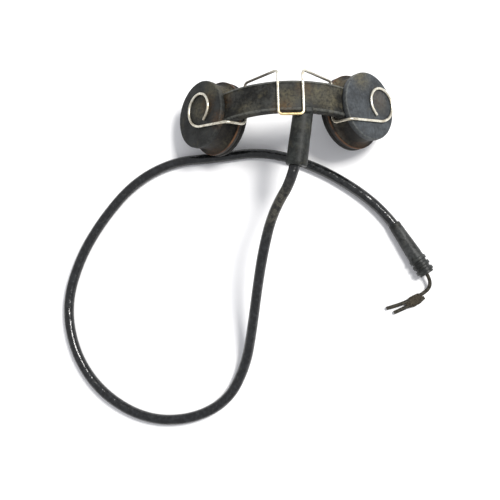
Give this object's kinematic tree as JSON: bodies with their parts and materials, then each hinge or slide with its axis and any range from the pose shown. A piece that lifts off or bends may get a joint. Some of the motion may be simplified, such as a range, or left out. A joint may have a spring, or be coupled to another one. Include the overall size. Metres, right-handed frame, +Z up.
{
  "type": "throat-worn radio headset",
  "caption": "Two round capsules on a short sprung rubber band, with a wire spring that has a strap curl over each capsule and a cord with cut ends.",
  "frame": {"origin": "on the surface that the headset stands on, midway between the two capsules", "axes": "+X along the band towards the cord boot's side, +Y across the band away from the boot, +Z up"},
  "size_m": [0.2254, 0.205, 0.0548],
  "materials": {
    "band_rubber": "matte black, worn and dusty",
    "cap_rubber": "matte black, worn grey at the edges",
    "boot_rubber": "matte grey black",
    "cord_rubber": "semi gloss black",
    "spring_wire": "worn nickel plate",
    "leaf_steel": "blued spring steel",
    "can_metal": "black lacquer worn to brown rust",
    "diaphragm_steel": "plain steel",
    "clamp_plastic": "black",
    "pad_rubber": "smooth black",
    "magnet_metal": "bare magnet alloy",
    "pole_iron": "soft iron",
    "coil_winding": "enamelled copper wire",
    "strip_board": "brown laminate",
    "screw_brass": "turned brass",
    "rivet_steel": "plain steel",
    "lead_insulation": "dull brown grey",
    "tie_tape": "dark insulating tape"
  },
  "bodies": {
    "band": {"band_cover": "band_rubber", "leaf_spring": "leaf_steel", "wire_bridge": "spring_wire", "cable_boot": "boot_rubber", "cord": "cord_rubber", "ribbed_end_sleeve": "cord_rubber", "long_cut_lead": "lead_insulation", "short_cut_lead": "lead_insulation", "lead_tie": "tie_tape", "left_leads": "lead_insulation", "right_leads": "lead_insulation"},
    "left_capsule": {"left_cap_cover": "cap_rubber", "left_capsule_body": "cap_rubber", "left_capsule_can": "can_metal", "left_diaphragm": "diaphragm_steel", "left_clamp_ring": "clamp_plastic", "left_contact_pad": "pad_rubber", "left_magnet": "magnet_metal", "left_pole_pieces": "pole_iron", "left_coils": "coil_winding", "left_terminal_strip": "strip_board", "left_terminal_screws": "screw_brass", "left_anchor_rivets": "rivet_steel"},
    "right_capsule": {"right_cap_cover": "cap_rubber", "right_capsule_body": "cap_rubber", "right_capsule_can": "can_metal", "right_diaphragm": "diaphragm_steel", "right_clamp_ring": "clamp_plastic", "right_contact_pad": "pad_rubber", "right_magnet": "magnet_metal", "right_pole_pieces": "pole_iron", "right_coils": "coil_winding", "right_terminal_strip": "strip_board", "right_terminal_screws": "screw_brass", "right_anchor_rivets": "rivet_steel"},
    "left_arm": {"left_wire_arm": "spring_wire"},
    "right_arm": {"right_wire_arm": "spring_wire"}
  },
  "joints": [
    {"name": "left_capsule_flex", "type": "hinge", "parent": "band", "child": "left_capsule", "pos_m": [-0.02174, 0, 0.03939], "axis": [0, 1, 0], "range_deg": [0, 22], "stiffness_Nm_per_rad": 0.8, "springref_deg": -1.15, "deforming": ["band_cover", "leaf_spring", "left_leads"]},
    {"name": "right_capsule_flex", "type": "hinge", "parent": "band", "child": "right_capsule", "pos_m": [0.02794, 0, 0.03474], "axis": [0, -1, 0], "range_deg": [0, 22], "stiffness_Nm_per_rad": 0.8, "springref_deg": -1.15, "deforming": ["band_cover", "leaf_spring", "right_leads"]},
    {"name": "left_arm_lift", "type": "hinge", "parent": "left_capsule", "child": "left_arm", "pos_m": [-0.02174, 0, 0.03939], "axis": [0, 1, 0], "range_deg": [0, 35], "stiffness_Nm_per_rad": 0.3, "springref_deg": -1.72},
    {"name": "right_arm_lift", "type": "hinge", "parent": "right_capsule", "child": "right_arm", "pos_m": [0.02794, 0, 0.03474], "axis": [0, -1, 0], "range_deg": [0, 35], "stiffness_Nm_per_rad": 0.3, "springref_deg": -1.72}
  ]
}
